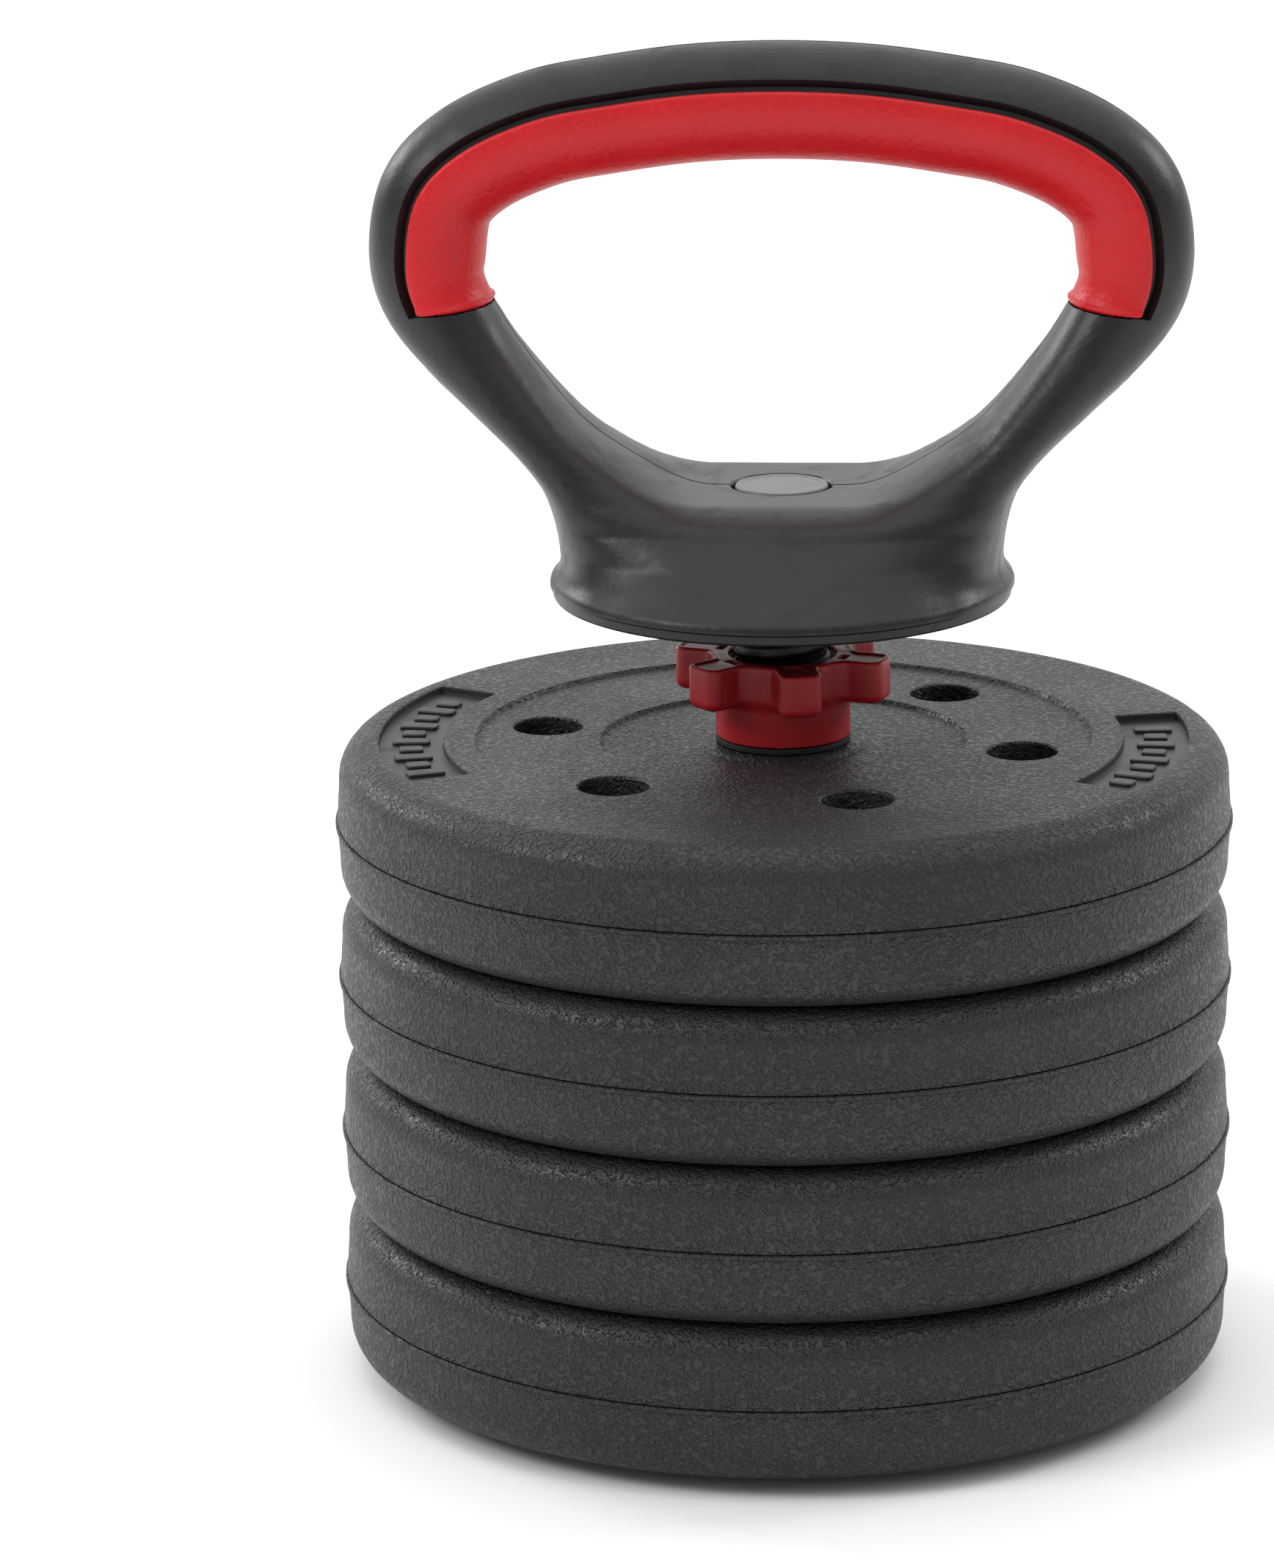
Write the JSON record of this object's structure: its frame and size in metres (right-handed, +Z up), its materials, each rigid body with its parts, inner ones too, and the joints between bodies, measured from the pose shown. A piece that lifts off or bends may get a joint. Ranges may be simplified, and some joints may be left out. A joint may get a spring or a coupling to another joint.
{
  "type": "adjustable plate kettlebell",
  "caption": "Adjustable kettlebell: filled round plates clamped on a threaded rod by a star nut, under a loop handle with a padded grip that screws onto the rod.",
  "frame": {"origin": "centre of the underside of the rubber foot pad, on the rod's axis", "axes": "+Z up along the threaded rod, +X across the handle's loop, +Y from the front of the loop to the back"},
  "size_m": [0.23, 0.23, 0.3467],
  "materials": {
    "plate_shell": "coarse moulded leather grain",
    "plate_fill": "cement and sand fill",
    "rod_plastic": "smooth moulded thread",
    "steel": "zinc plated",
    "rubber": "matt",
    "nut_plastic": "moulded, lightly glossy",
    "handle_plastic": "fine moulded grain",
    "grip_rubber": "soft satin",
    "cap_plastic": "satin"
  },
  "bodies": {
    "rod": {"rod_sleeve": "rod_plastic", "rod_core": "steel", "foot_flange": "steel", "foot_bolt": "steel", "foot_pad": "rubber"},
    "plate_1": {"plate_1_upper_shell": "plate_shell", "plate_1_lower_shell": "plate_shell", "plate_1_core": "plate_fill", "plate_1_plug": "plate_shell"},
    "plate_2": {"plate_2_upper_shell": "plate_shell", "plate_2_lower_shell": "plate_shell", "plate_2_core": "plate_fill", "plate_2_plug": "plate_shell"},
    "plate_3": {"plate_3_upper_shell": "plate_shell", "plate_3_lower_shell": "plate_shell", "plate_3_core": "plate_fill", "plate_3_plug": "plate_shell"},
    "plate_4": {"plate_4_upper_shell": "plate_shell", "plate_4_lower_shell": "plate_shell", "plate_4_core": "plate_fill", "plate_4_plug": "plate_shell"},
    "washer": {"nut_washer": "rubber"},
    "nut": {"star_nut": "nut_plastic"},
    "cap": {"saddle_cap": "cap_plastic"},
    "handle": {"handle_front_shell": "handle_plastic", "handle_back_shell": "handle_plastic", "grip_pad": "grip_rubber", "handle_core": "steel", "base_cover": "handle_plastic", "thread_insert": "steel", "cover_screw_1": "steel", "cover_screw_2": "steel", "cover_screw_3": "steel", "cover_screw_4": "steel", "shell_screw_1": "steel", "shell_screw_2": "steel"}
  },
  "joints": [
    {"name": "nut_travel", "type": "slide", "parent": "rod", "child": "washer", "axis": [0, 0, 1], "range_m": [0, 0.0136]},
    {"name": "nut_spin", "type": "hinge", "parent": "washer", "child": "nut", "pos_m": [0, 0, 0.178], "axis": [0, 0, 1], "range_deg": [0, 722]},
    {"name": "plate_1_slide", "type": "slide", "parent": "rod", "child": "plate_1", "axis": [0, 0, 1], "range_m": [0, 0.0028]},
    {"name": "plate_2_slide", "type": "slide", "parent": "rod", "child": "plate_2", "axis": [0, 0, 1], "range_m": [0, 0.0055]},
    {"name": "plate_3_slide", "type": "slide", "parent": "rod", "child": "plate_3", "axis": [0, 0, 1], "range_m": [0, 0.0082]},
    {"name": "plate_4_slide", "type": "slide", "parent": "rod", "child": "plate_4", "axis": [0, 0, 1], "range_m": [0, 0.0108]},
    {"name": "handle_lift", "type": "slide", "parent": "rod", "child": "cap", "axis": [0, 0, 1], "range_m": [0, 0.0237]},
    {"name": "handle_spin", "type": "hinge", "parent": "cap", "child": "handle", "pos_m": [0, 0, 0.215], "axis": [0, 0, 1], "range_deg": [0, 1260]}
  ],
  "couplings": [
    {"joint": "nut_spin", "follows": "plate_4_slide", "rad_per_m": 1163.6},
    {"joint": "nut_travel", "follows": "plate_4_slide", "ratio": 1.25},
    {"joint": "plate_1_slide", "follows": "plate_4_slide", "ratio": 0.25},
    {"joint": "plate_2_slide", "follows": "plate_4_slide", "ratio": 0.5},
    {"joint": "plate_3_slide", "follows": "plate_4_slide", "ratio": 0.75},
    {"joint": "handle_lift", "follows": "handle_spin", "m_per_rad": 0.0010743}
  ]
}
